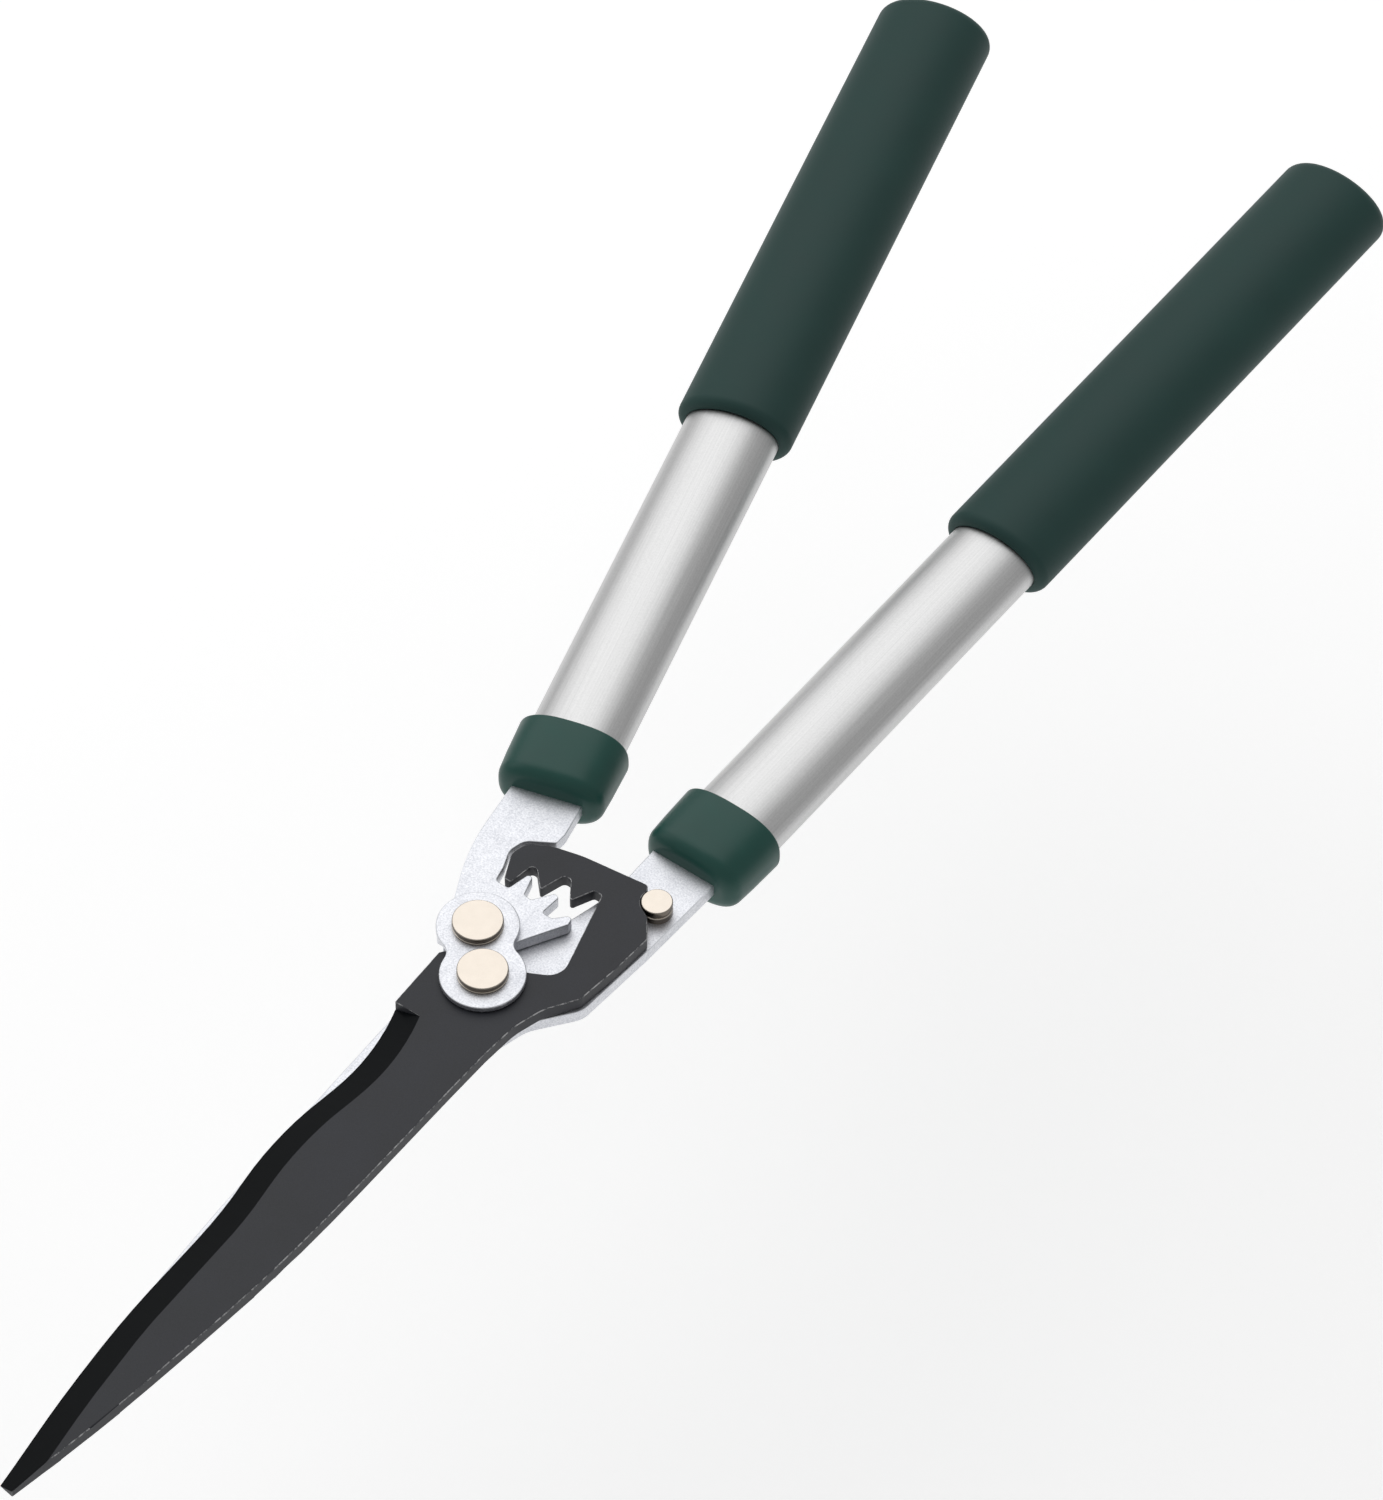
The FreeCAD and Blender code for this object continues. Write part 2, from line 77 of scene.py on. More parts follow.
def add(tree, kind, values=None, wires=None, **settings):
    """Adds a node with its own settings, its inputs' values, and wires into its inputs."""
    made = tree.nodes.new(kind)
    for name, value in settings.items():
        setattr(made, name, value)
    for key, value in (values or {}).items():
        made.inputs[key].default_value = value
    for key, source in (wires or {}).items():
        tree.links.new(source, made.inputs[key])
    return made


def new_material(name):
    """An empty material and its node tree."""
    material = bpy.data.materials.new(name)
    material.use_nodes = True
    material.node_tree.nodes.clear()
    return material, material.node_tree


def smooth_where_round(mesh, limit=math.radians(32)):
    """Smooth shading, with a crease wherever two faces meet at more than the limit."""
    shape = bmesh.new()
    shape.from_mesh(mesh)
    for face in shape.faces:
        face.smooth = True
    for edge in shape.edges:
        edge.smooth = len(edge.link_faces) == 2 and edge.calc_face_angle() < limit
    shape.to_mesh(mesh)
    shape.free()


def broken_plate(node, name, finishes):
    """A CAD plate with its edges broken.  The finishes are for its faces, for the ground bevel
    and for the broken edges.  The cutting edge and the lines round the ground bevel stay keen."""
    shape = bmesh.new()
    shape.from_mesh(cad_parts[node].data)
    bmesh.ops.remove_doubles(shape, verts=shape.verts, dist=SEAM)
    bmesh.ops.dissolve_limit(shape, angle_limit=FLAT, verts=shape.verts, edges=shape.edges)
    ground = {f for f in shape.faces if 0.8 < abs(f.normal.z) < 0.97}
    for face in shape.faces:
        face.material_index = 1 if face in ground else 0
        face.smooth = True
    weight = shape.edges.layers.float.new("bevel_weight_edge")
    for edge in shape.edges:
        if len(edge.link_faces) != 2:
            continue
        heights = [max(v.co.z for v in f.verts) - min(v.co.z for v in f.verts)
                   for f in edge.link_faces if abs(f.normal.z) < 0.5]
        keen = any(f in ground for f in edge.link_faces) or any(h < LAND for h in heights)
        edge[weight] = 0.0 if keen or edge.calc_face_angle() < CORNER else 1.0
    mesh = bpy.data.meshes.new(name)
    shape.to_mesh(mesh)
    shape.free()
    for finish in finishes:
        mesh.materials.append(finish)
    rough = bpy.data.objects.new(name + "_rough", mesh)
    bpy.context.scene.collection.objects.link(rough)
    bevel = rough.modifiers.new("edge break", "BEVEL")
    bevel.limit_method = "WEIGHT"
    bevel.width = EDGE_BREAK
    bevel.segments = 2
    bevel.material = 2
    bevel.use_clamp_overlap = False
    depsgraph = bpy.context.evaluated_depsgraph_get()
    final = bpy.data.meshes.new_from_object(rough.evaluated_get(depsgraph))
    bpy.data.objects.remove(rough)
    smooth_where_round(final, math.radians(20))
    piece = bpy.data.objects.new(name, final)
    bpy.context.scene.collection.objects.link(piece)
    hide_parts(node)
    return piece


# Zinc plate over tumbled steel: a metal, bright and slightly blue, with a frosty grain, drawn
# half a millimetre across so that it shows, cloudy patches, and faint marks along the plate.
ZINC_BRIGHT = linear("#e8e9ed")
ZINC_DULL = linear("#c6c8ce")
GRAIN = 0.5 * MM
CLOUD = 7.0 * MM
MARK = (0.35 * MM, 9.0 * MM, 1.0 * MM)

zinc, tree = new_material("bright_zinc_plated_steel")
coordinates = add(tree, "ShaderNodeTexCoord")
grain = add(tree, "ShaderNodeTexNoise", {"Scale": 1 / GRAIN, "Detail": 3.0, "Roughness": 0.6},
            {"Vector": coordinates.outputs["Object"]})
cloud = add(tree, "ShaderNodeTexNoise", {"Scale": 1 / CLOUD, "Detail": 2.0},
            {"Vector": coordinates.outputs["Object"]})
drawn = add(tree, "ShaderNodeMapping", {"Scale": [1 / size for size in MARK]},
            {"Vector": coordinates.outputs["Object"]})
streaks = add(tree, "ShaderNodeTexNoise", {"Scale": 1.0, "Detail": 2.0},
              {"Vector": drawn.outputs["Vector"]})
mottle = add(tree, "ShaderNodeMix", {"Factor": 0.25},
             {2: grain.outputs["Fac"], 3: cloud.outputs["Fac"]}, data_type="FLOAT")
tone = add(tree, "ShaderNodeMapRange", {"From Min": 0.35, "From Max": 0.62},
           {"Value": mottle.outputs[0]})
colour = add(tree, "ShaderNodeMix", {6: ZINC_DULL, 7: ZINC_BRIGHT},
             {"Factor": tone.outputs["Result"]}, data_type="RGBA")
rough = add(tree, "ShaderNodeMapRange", {"To Min": 0.36, "To Max": 0.56},
            {"Value": streaks.outputs["Fac"]})
bump = add(tree, "ShaderNodeBump", {"Strength": 0.22, "Distance": 0.03 * MM},
           {"Height": grain.outputs["Fac"]})
shader = add(tree, "ShaderNodeBsdfPrincipled", {"Metallic": 1.0},
             {"Base Color": colour.outputs[2], "Roughness": rough.outputs["Result"],
              "Normal": bump.outputs["Normal"]})
add(tree, "ShaderNodeOutputMaterial", wires={"Surface": shader.outputs["BSDF"]})

# The ground bevel and the broken edges of a zinc plated plate are smoother and brighter, with
# the grinding wheel's lines across the edge.
WHEEL_MARK = (12.0 * MM, 0.4 * MM, 12.0 * MM)

ground_zinc, tree = new_material("ground_zinc_plated_steel")
coordinates = add(tree, "ShaderNodeTexCoord")
wheel = add(tree, "ShaderNodeMapping", {"Scale": [1 / size for size in WHEEL_MARK]},
            {"Vector": coordinates.outputs["Object"]})
lines = add(tree, "ShaderNodeTexNoise", {"Scale": 1.0, "Detail": 3.0},
            {"Vector": wheel.outputs["Vector"]})
colour = add(tree, "ShaderNodeMix", {6: linear("#c9ccd1"), 7: linear("#eceef2")},
             {"Factor": lines.outputs["Fac"]}, data_type="RGBA")
rough = add(tree, "ShaderNodeMapRange", {"To Min": 0.22, "To Max": 0.4},
            {"Value": lines.outputs["Fac"]})
bump = add(tree, "ShaderNodeBump", {"Strength": 0.25, "Distance": 0.02 * MM},
           {"Height": lines.outputs["Fac"]})
shader = add(tree, "ShaderNodeBsdfPrincipled", {"Metallic": 1.0},
             {"Base Color": colour.outputs[2], "Roughness": rough.outputs["Result"],
              "Normal": bump.outputs["Normal"]})
add(tree, "ShaderNodeOutputMaterial", wires={"Surface": shader.outputs["BSDF"]})

rear = broken_plate("rear_blade", "rear_blade_plate", [zinc, ground_zinc, ground_zinc])
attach(rear, "fixed_side")

# ---- front blade, with the toothed hook ----------------------------------------------
# One plate of the same steel, with the hook that the lever's teeth push.  It has a dark, satin,
# non-stick fluoropolymer coat.
COAT_DARK = linear("#1e2025")
COAT_LIGHT = linear("#2a2c33")
COAT_GRAIN = 0.3 * MM
COAT_CLOUD = 18.0 * MM

coat, tree = new_material("satin_fluoropolymer_coat")
coordinates = add(tree, "ShaderNodeTexCoord")
grain = add(tree, "ShaderNodeTexNoise", {"Scale": 1 / COAT_GRAIN, "Detail": 2.0},
            {"Vector": coordinates.outputs["Object"]})
cloud = add(tree, "ShaderNodeTexNoise", {"Scale": 1 / COAT_CLOUD, "Detail": 3.0},
            {"Vector": coordinates.outputs["Object"]})
mottle = add(tree, "ShaderNodeMix", {"Factor": 0.6},
             {2: grain.outputs["Fac"], 3: cloud.outputs["Fac"]}, data_type="FLOAT")
tone = add(tree, "ShaderNodeMapRange", {"From Min": 0.35, "From Max": 0.65},
           {"Value": mottle.outputs[0]})
colour = add(tree, "ShaderNodeMix", {6: COAT_DARK, 7: COAT_LIGHT},
             {"Factor": tone.outputs["Result"]}, data_type="RGBA")
rough = add(tree, "ShaderNodeMapRange", {"To Min": 0.4, "To Max": 0.52},
            {"Value": cloud.outputs["Fac"]})
bump = add(tree, "ShaderNodeBump", {"Strength": 0.15, "Distance": 0.02 * MM},
           {"Height": grain.outputs["Fac"]})
shader = add(tree, "ShaderNodeBsdfPrincipled", {"IOR": 1.42},
             {"Base Color": colour.outputs[2], "Roughness": rough.outputs["Result"],
              "Normal": bump.outputs["Normal"]})
add(tree, "ShaderNodeOutputMaterial", wires={"Surface": shader.outputs["BSDF"]})

# The ground bevel is painted nearly black and given a low IOR so that it mirrors very little:
# painted shade for the dark surroundings that the ground steel reflects, with the wheel's lines
# across the edge.
DARK_BEVEL_WHEEL_MARK = (14.0 * MM, 0.5 * MM, 14.0 * MM)

painted_dark_bevel, tree = new_material("ground_steel_painted_dark")
coordinates = add(tree, "ShaderNodeTexCoord")
wheel = add(tree, "ShaderNodeMapping", {"Scale": [1 / size for size in DARK_BEVEL_WHEEL_MARK]},
            {"Vector": coordinates.outputs["Object"]})
lines = add(tree, "ShaderNodeTexNoise", {"Scale": 1.0, "Detail": 3.0},
            {"Vector": wheel.outputs["Vector"]})
# Painted shade: the bevel's near-black colour stands for the dark surroundings it mirrors.
colour = add(tree, "ShaderNodeMix", {6: linear("#030507"), 7: linear("#070b0e")},
             {"Factor": lines.outputs["Fac"]}, data_type="RGBA")
rough = add(tree, "ShaderNodeMapRange", {"To Min": 0.3, "To Max": 0.42},
            {"Value": lines.outputs["Fac"]})
bump = add(tree, "ShaderNodeBump", {"Strength": 0.15, "Distance": 0.02 * MM},
           {"Height": lines.outputs["Fac"]})
# The low IOR keeps the bevel from mirroring the bright surround, part of the same painted shade.
shader = add(tree, "ShaderNodeBsdfPrincipled", {"IOR": 1.16},
             {"Base Color": colour.outputs[2], "Roughness": rough.outputs["Result"],
              "Normal": bump.outputs["Normal"]})
add(tree, "ShaderNodeOutputMaterial", wires={"Surface": shader.outputs["BSDF"]})

# Where the coat is rubbed through along the edges, bare steel shows in specks 1 to 3 mm long.
SPECK = 2.2 * MM

worn, tree = new_material("worn_coat_edge")
coordinates = add(tree, "ShaderNodeTexCoord")
specks = add(tree, "ShaderNodeTexNoise",
             {"Scale": 1 / SPECK, "Detail": 4.0, "Roughness": 0.7},
             {"Vector": coordinates.outputs["Object"]})
bare = add(tree, "ShaderNodeMapRange", {"From Min": 0.44, "From Max": 0.58},
           {"Value": specks.outputs["Fac"]})
colour = add(tree, "ShaderNodeMix", {6: linear("#3a3c40"), 7: linear("#a9a9aa")},
             {"Factor": bare.outputs["Result"]}, data_type="RGBA")
metal = add(tree, "ShaderNodeMath", {1: 0.9}, {0: bare.outputs["Result"]}, operation="MULTIPLY")
rough = add(tree, "ShaderNodeMapRange", {"To Min": 0.42, "To Max": 0.3},
            {"Value": bare.outputs["Result"]})
shader = add(tree, "ShaderNodeBsdfPrincipled", {},
             {"Base Color": colour.outputs[2], "Metallic": metal.outputs["Value"],
              "Roughness": rough.outputs["Result"]})
add(tree, "ShaderNodeOutputMaterial", wires={"Surface": shader.outputs["BSDF"]})

front = broken_plate("front_blade", "front_blade_plate", [coat, painted_dark_bevel, worn])
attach(front, "front_blade")

# ---- gear lever and link plate -------------------------------------------------------
# The lever is a toothed head that turns on the upper pivot, with the left handle's tang.  The
# link plate joins the two rivets in front, like a figure of eight.  Both are zinc plated.
lever = broken_plate("gear_lever", "gear_lever_plate", [zinc, ground_zinc, ground_zinc])
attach(lever, "lever_side")

link = broken_plate("link_plate", "link_plate_plate", [zinc, ground_zinc, ground_zinc])
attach(link, "fixed_side")

# ---- rivets --------------------------------------------------------------------------
# Two shoulder rivets turned from steel and nickel plated carry the blade and the lever, and a
# smaller stud stops the hook.  Each has a polished top, a narrow bevel, and a turned side.
PIVOT_R = 6.75              # sizes from here on are in mm, as the CAD has them
STOP_R = 4.15
MERGE = 0.002 * MM
ROUND_SIDES = 96
STUD_SIDES = 72


def oval_tree():
    """Geometry nodes that turn a profile into a closed oval shell.

    The profile is the object's own row of points.  X is how far a point lies inside the widest
    oval, Y how far along the axis, and Z what share of the way it has shrunk to the axis."""
    tree = bpy.data.node_groups.new("turned oval", "GeometryNodeTree")
    sockets = {}
    for name, kind, value in (("Profile", "NodeSocketGeometry", None),
                              ("Half Width", "NodeSocketFloat", 1.0),
                              ("Half Height", "NodeSocketFloat", 1.0),
                              ("Power", "NodeSocketFloat", 2.0),
                              ("Sides", "NodeSocketInt", ROUND_SIDES),
                              ("Turn", "NodeSocketRotation", None),
                              ("Place", "NodeSocketVector", None),
                              ("Finish", "NodeSocketMaterial", None)):
        socket = tree.interface.new_socket(name, in_out="INPUT", socket_type=kind)
        if value is not None:
            socket.default_value = value
        sockets[name] = socket.identifier
    tree.interface.new_socket("Shell", in_out="OUTPUT", socket_type="NodeSocketGeometry")
    given = add(tree, "NodeGroupInput").outputs
    size = add(tree, "GeometryNodeAttributeDomainSize", wires={"Geometry": given["Profile"]})
    count = size.outputs["Point Count"]
    columns = add(tree, "ShaderNodeMath", {1: 1.0}, {0: given["Sides"]}, operation="ADD")
    grid = add(tree, "GeometryNodeMeshGrid", {},
               {"Vertices X": columns.outputs["Value"], "Vertices Y": count})
    index = add(tree, "GeometryNodeInputIndex").outputs["Index"]
    row = add(tree, "ShaderNodeMath", wires={0: index, 1: count}, operation="MODULO")
    share = add(tree, "ShaderNodeMath", wires={0: index, 1: count}, operation="DIVIDE")
    column = add(tree, "ShaderNodeMath", wires={0: share.outputs["Value"]}, operation="FLOOR")
    around = add(tree, "ShaderNodeMath", wires={0: column.outputs["Value"], 1: given["Sides"]},
                 operation="DIVIDE")
    angle = add(tree, "ShaderNodeMath", {1: 2 * math.pi}, {0: around.outputs["Value"]},
                operation="MULTIPLY")
    place = add(tree, "GeometryNodeInputPosition").outputs["Position"]
    sample = add(tree, "GeometryNodeSampleIndex",
                 wires={"Geometry": given["Profile"], "Value": place,
                        "Index": row.outputs["Value"]}, data_type="FLOAT_VECTOR")
    point = add(tree, "ShaderNodeSeparateXYZ", wires={0: sample.outputs["Value"]})
    keep = add(tree, "ShaderNodeMath", {0: 1.0}, {1: point.outputs["Z"]}, operation="SUBTRACT")
    exponent = add(tree, "ShaderNodeMath", {0: 2.0}, {1: given["Power"]}, operation="DIVIDE")
    ends = []
    for wave, half in (("COSINE", "Half Width"), ("SINE", "Half Height")):
        side = add(tree, "ShaderNodeMath", wires={0: angle.outputs["Value"]}, operation=wave)
        length = add(tree, "ShaderNodeMath", wires={0: side.outputs["Value"]},
                     operation="ABSOLUTE")
        bent = add(tree, "ShaderNodeMath",
                   wires={0: length.outputs["Value"], 1: exponent.outputs["Value"]},
                   operation="POWER")
        sign = add(tree, "ShaderNodeMath", wires={0: side.outputs["Value"]}, operation="SIGN")
        signed = add(tree, "ShaderNodeMath",
                     wires={0: bent.outputs["Value"], 1: sign.outputs["Value"]},
                     operation="MULTIPLY")
        reach = add(tree, "ShaderNodeMath", wires={0: given[half], 1: point.outputs["X"]},
                    operation="SUBTRACT")
        shrunk = add(tree, "ShaderNodeMath",
                     wires={0: reach.outputs["Value"], 1: keep.outputs["Value"]},
                     operation="MULTIPLY")
        end = add(tree, "ShaderNodeMath",
                  wires={0: shrunk.outputs["Value"], 1: signed.outputs["Value"]},
                  operation="MULTIPLY")
        ends.append(end.outputs["Value"])
    spot = add(tree, "ShaderNodeCombineXYZ",
               wires={"X": ends[0], "Y": point.outputs["Y"], "Z": ends[1]})
    shell = add(tree, "GeometryNodeSetPosition",
                wires={"Geometry": grid.outputs["Mesh"], "Position": spot.outputs["Vector"]})
    kept = add(tree, "GeometryNodeStoreNamedAttribute", {"Name": "own_axes"},
               {"Geometry": shell.outputs["Geometry"], "Value": place},
               data_type="FLOAT_VECTOR", domain="POINT")
    closed = add(tree, "GeometryNodeMergeByDistance", {"Distance": MERGE},
                 {"Geometry": kept.outputs["Geometry"]})
    placed = add(tree, "GeometryNodeTransform",
                 wires={"Geometry": closed.outputs["Geometry"], "Translation": given["Place"],
                        "Rotation": given["Turn"]})
    real = add(tree, "GeometryNodeRealizeInstances",
               wires={"Geometry": placed.outputs["Geometry"]})
    finished = add(tree, "GeometryNodeSetMaterial",
                   wires={"Geometry": real.outputs["Geometry"], "Material": given["Finish"]})
    add(tree, "NodeGroupOutput", wires={"Shell": finished.outputs["Geometry"]})
    return tree, sockets


turned_oval, oval_sockets = oval_tree()


def turn_profile(name, profile_mm, finish, half_width, half_height, turn, place, power=2.0,
                 sides=ROUND_SIDES):
    """Mesh of a closed oval shell.  The profile is (inset, station, shrink) points, in mm."""
    rows = [(x * MM, y * MM, z) for x, y, z in profile_mm]
    mesh = bpy.data.meshes.new(name + "_profile")
    mesh.from_pydata(rows, [(i, i + 1) for i in range(len(rows) - 1)], [])
    carrier = bpy.data.objects.new(name + "_carrier", mesh)
    bpy.context.scene.collection.objects.link(carrier)
    nodes = carrier.modifiers.new("turned oval", "NODES")
    nodes.node_group = turned_oval
    nodes[oval_sockets["Half Width"]] = half_width * MM
    nodes[oval_sockets["Half Height"]] = half_height * MM
    nodes[oval_sockets["Power"]] = power
    nodes[oval_sockets["Sides"]] = sides
    nodes[oval_sockets["Turn"]] = turn
    nodes[oval_sockets["Place"]] = place
    nodes[oval_sockets["Finish"]] = finish
    depsgraph = bpy.context.evaluated_depsgraph_get()
    final = bpy.data.meshes.new_from_object(carrier.evaluated_get(depsgraph))
    bpy.data.objects.remove(carrier)
    shape = bmesh.new()
    shape.from_mesh(final)
    bmesh.ops.remove_doubles(shape, verts=shape.verts, dist=MERGE)
    bmesh.ops.dissolve_degenerate(shape, edges=shape.edges, dist=SEAM)
    bmesh.ops.recalc_face_normals(shape, faces=shape.faces)
    shape.to_mesh(final)
    shape.free()
    smooth_where_round(final)
    return final


def quarter(inset, station, radius, start, end, steps=6):
    """Points of an arc about (inset, station), from one direction to another in degrees."""
    points = []
    for i in range(steps + 1):
        turn = math.radians(start + (end - start) * i / steps)
        points.append((inset + radius * math.cos(turn), station + radius * math.sin(turn), 0.0))
    return points


# Polished nickel plate: warm white, mirror smooth but for faint rings left by the lathe.  The
# flat ends are polished; the rims and turned sides are painted darker the more they turn from
# facing up: painted shade where they face away from the light above.
TOOL_MARK = 9.0 * MM        # a wave texture of this scale has its rings under 3 mm apart
SMUDGE = 2.5 * MM

nickel, tree = new_material("polished_nickel_plate")
own = add(tree, "ShaderNodeAttribute", attribute_name="own_axes")
across = add(tree, "ShaderNodeVectorMath", {1: (1.0, 0.0, 1.0)}, {0: own.outputs["Vector"]},
             operation="MULTIPLY")
rings = add(tree, "ShaderNodeTexWave", {"Scale": 1 / TOOL_MARK, "Distortion": 1.5, "Detail": 2.0,
                                        "Detail Scale": 2.0},
            {"Vector": across.outputs["Vector"]}, wave_type="RINGS", rings_direction="SPHERICAL")
smudge = add(tree, "ShaderNodeTexNoise", {"Scale": 1 / SMUDGE, "Detail": 3.0},
             {"Vector": own.outputs["Vector"]})
polished = add(tree, "ShaderNodeMix", {6: linear("#cac1b6"), 7: linear("#d6cdc2")},
               {"Factor": smudge.outputs["Fac"]}, data_type="RGBA")
surface = add(tree, "ShaderNodeTexCoord")
# Painted shade: faces that turn away from facing up get the dark colour #736b62 instead of the
# polished one.
slope = add(tree, "ShaderNodeSeparateXYZ", wires={0: surface.outputs["Normal"]})
level = add(tree, "ShaderNodeMath", wires={0: slope.outputs["Z"]}, operation="ABSOLUTE")
painted_side_shade_mask = add(tree, "ShaderNodeMapRange", {"From Min": 0.35, "From Max": 0.97},
               {"Value": level.outputs["Value"]})
colour = add(tree, "ShaderNodeMix", {6: linear("#736b62")},
             {"Factor": painted_side_shade_mask.outputs["Result"], 7: polished.outputs[2]}, data_type="RGBA")
rough = add(tree, "ShaderNodeMapRange", {"To Min": 0.16, "To Max": 0.28},
            {"Value": smudge.outputs["Fac"]})
bump = add(tree, "ShaderNodeBump", {"Strength": 0.06, "Distance": 0.01 * MM},
           {"Height": rings.outputs["Fac"]})
shader = add(tree, "ShaderNodeBsdfPrincipled", {"Metallic": 1.0},
             {"Base Color": colour.outputs[2], "Roughness": rough.outputs["Result"],
              "Normal": bump.outputs["Normal"]})
add(tree, "ShaderNodeOutputMaterial", wires={"Surface": shader.outputs["BSDF"]})

UPRIGHT = (math.radians(90), 0.0, 0.0)      # turns a profile's axis from +Y to +Z

CROWN = 0.02                # a flat end stands this much higher in its middle
RIM_FLAT = 0.05             # from a rounded rim to the flat end
REAR_BACK = -3.8            # back face of the rear plate
HEAD_HEIGHT = 2.1
HEAD_FOOT = -0.05           # the head's foot stands out by this
SHANK_INSET = 2.25          # from the side of a pivot's head in to its shank
TENON_INSET = 3.35          # and to its thinner end, in the rear plate
TENON_LEVEL = -0.01
STOP_TENON_INSET = 1.55


def rivet_profile(top, back, rim, side, back_rim):
    """Profile of a rivet: rounded front rim, the given (inset, station) side, rounded back head.
    The back rim is its (inset, height over the back, radius, steps)."""
    inset, rise, radius, steps = back_rim
    profile = [(0, top + CROWN, 1.0), (rim + RIM_FLAT, top, 0.5), (rim + RIM_FLAT, top, 0.0)]
    profile += quarter(rim, top - rim, rim, 90, 180, 5)[1:]
    profile += [(x, y, 0.0) for x, y in side]
    profile += quarter(inset, back + rise, radius, 180, 270, steps)
    return profile + [(inset + RIM_FLAT, back, 0.5), (0, back - CROWN, 1.0)]


def make_rivet(node, side, rim, back_rim, radius, sides):
    """Turned rivet on the place of its CAD node.  Its side is a function of the top's level."""
    low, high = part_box(node)
    centre = (low + high) / 2
    top = high.z / MM
    profile = rivet_profile(top, low.z / MM, rim, side(top), back_rim)
    mesh = turn_profile(node, profile, nickel, radius, radius, UPRIGHT,
                        (centre.x, centre.y, 0.0), sides=sides)
    piece = bpy.data.objects.new(node + "_turned", mesh)
    bpy.context.scene.collection.objects.link(piece)
    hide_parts(node)
    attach(piece, "fixed_side")


def pivot_side(top):
    """Side of a pivot rivet: a shallow groove in the head, the shank and the tenon."""
    foot = top - HEAD_HEIGHT
    return [(0.0, top - 1.25), (0.16, top - 1.35), (0.16, top - 1.6), (HEAD_FOOT, top - 1.7),
            (HEAD_FOOT, foot), (SHANK_INSET, foot), (SHANK_INSET, TENON_LEVEL),
            (TENON_INSET, TENON_LEVEL), (TENON_INSET, REAR_BACK), (1.15, REAR_BACK)]


def stop_side(top):
    """Side of the stop rivet: a deeper groove, and the tenon."""
    return [(0.0, top - 1.7), (0.3, top - 1.85), (0.3, top - 2.5), (0.0, top - 2.65), (0.0, 0.0),
            (STOP_TENON_INSET, 0.0), (STOP_TENON_INSET, REAR_BACK), (-0.05, REAR_BACK)]


for node in ("lever_pivot_rivet", "blade_pivot_rivet"):
    make_rivet(node, pivot_side, 0.4, (2.15, 0.9, 1.0, 5), PIVOT_R, ROUND_SIDES)
make_rivet("stop_rivet", stop_side, 0.35, (0.45, 0.5, 0.5, 4), STOP_R, STUD_SIDES)

# ---- handles: tubes, collars and grips -----------------------------------------------
# Each handle is an oval aluminium tube, satin anodised, pushed over the tang.  A moulded
# collar hides the joint, and a thick closed-end sleeve of soft plastic is the grip.
# Half widths end in A and half heights in B.  Stations run from the collar's lower end.
TUBE_A = 13.3
TUBE_B = 8.0
TUBE_WALL = 1.2
TUBE_FROM = 3.0
TUBE_TO = 286.5
TUBE_CHAMFER = 0.3
TUBE_ROWS = 40
COLLAR_A = 15.4
COLLAR_B = 10.1
COLLAR_POWER = 2.6          # its section is squarer than an ellipse
COLLAR_LONG = 20.1
COLLAR_TAPER = 0.5          # its lower end is smaller by this
COLLAR_ROUND = 4.2
COLLAR_LIP_ROUND = 0.8
COLLAR_LIP_CHAMFER = 0.35
GRIP_A = 16.3
GRIP_B = 11.6
GRIP_FROM = 134.8
GRIP_FROM_ROUND = 2.8
GRIP_END_ROUND = 4.0
GRIP_DOME = 0.4             # height of the slightly domed end
GRIP_ROWS = 30
PLUG_FLANGE = 1.4           # the end plug's flange stands this far out of the tube
HANDLE_SIDES = 120

# Anodised aluminium: a satin metal with the extrusion's fine lines along the tube.
DRAWN_LINE = (0.35 * MM, 60.0 * MM, 0.35 * MM)
TUBE_FROST = 0.5 * MM

anodised, tree = new_material("satin_anodised_aluminium")
own = add(tree, "ShaderNodeAttribute", attribute_name="own_axes")
drawn = add(tree, "ShaderNodeMapping", {"Scale": [1 / size for size in DRAWN_LINE]},
            {"Vector": own.outputs["Vector"]})
lines = add(tree, "ShaderNodeTexNoise", {"Scale": 1.0, "Detail": 3.0},
            {"Vector": drawn.outputs["Vector"]})
frost = add(tree, "ShaderNodeTexNoise", {"Scale": 1 / TUBE_FROST, "Detail": 2.0},
            {"Vector": own.outputs["Vector"]})
mottle = add(tree, "ShaderNodeMix", {"Factor": 0.4},
             {2: lines.outputs["Fac"], 3: frost.outputs["Fac"]}, data_type="FLOAT")
tone = add(tree, "ShaderNodeMapRange", {"From Min": 0.35, "From Max": 0.65},
           {"Value": mottle.outputs[0]})
colour = add(tree, "ShaderNodeMix", {6: linear("#c8c8c8"), 7: linear("#d8d8d8")},
             {"Factor": tone.outputs["Result"]}, data_type="RGBA")
rough = add(tree, "ShaderNodeMapRange", {"To Min": 0.36, "To Max": 0.5},
            {"Value": lines.outputs["Fac"]})
bump = add(tree, "ShaderNodeBump", {"Strength": 0.15, "Distance": 0.02 * MM},
           {"Height": mottle.outputs[0]})
shader = add(tree, "ShaderNodeBsdfPrincipled", {"Metallic": 1.0},
             {"Base Color": colour.outputs[2], "Roughness": rough.outputs["Result"],
              "Normal": bump.outputs["Normal"]})
add(tree, "ShaderNodeOutputMaterial", wires={"Surface": shader.outputs["BSDF"]})

# The collar is polypropylene, moulded with a low gloss.
MOULD_FLOW = 9.0 * MM
MOULD_SPARK = 0.6 * MM      # texture that the mould's spark erosion leaves

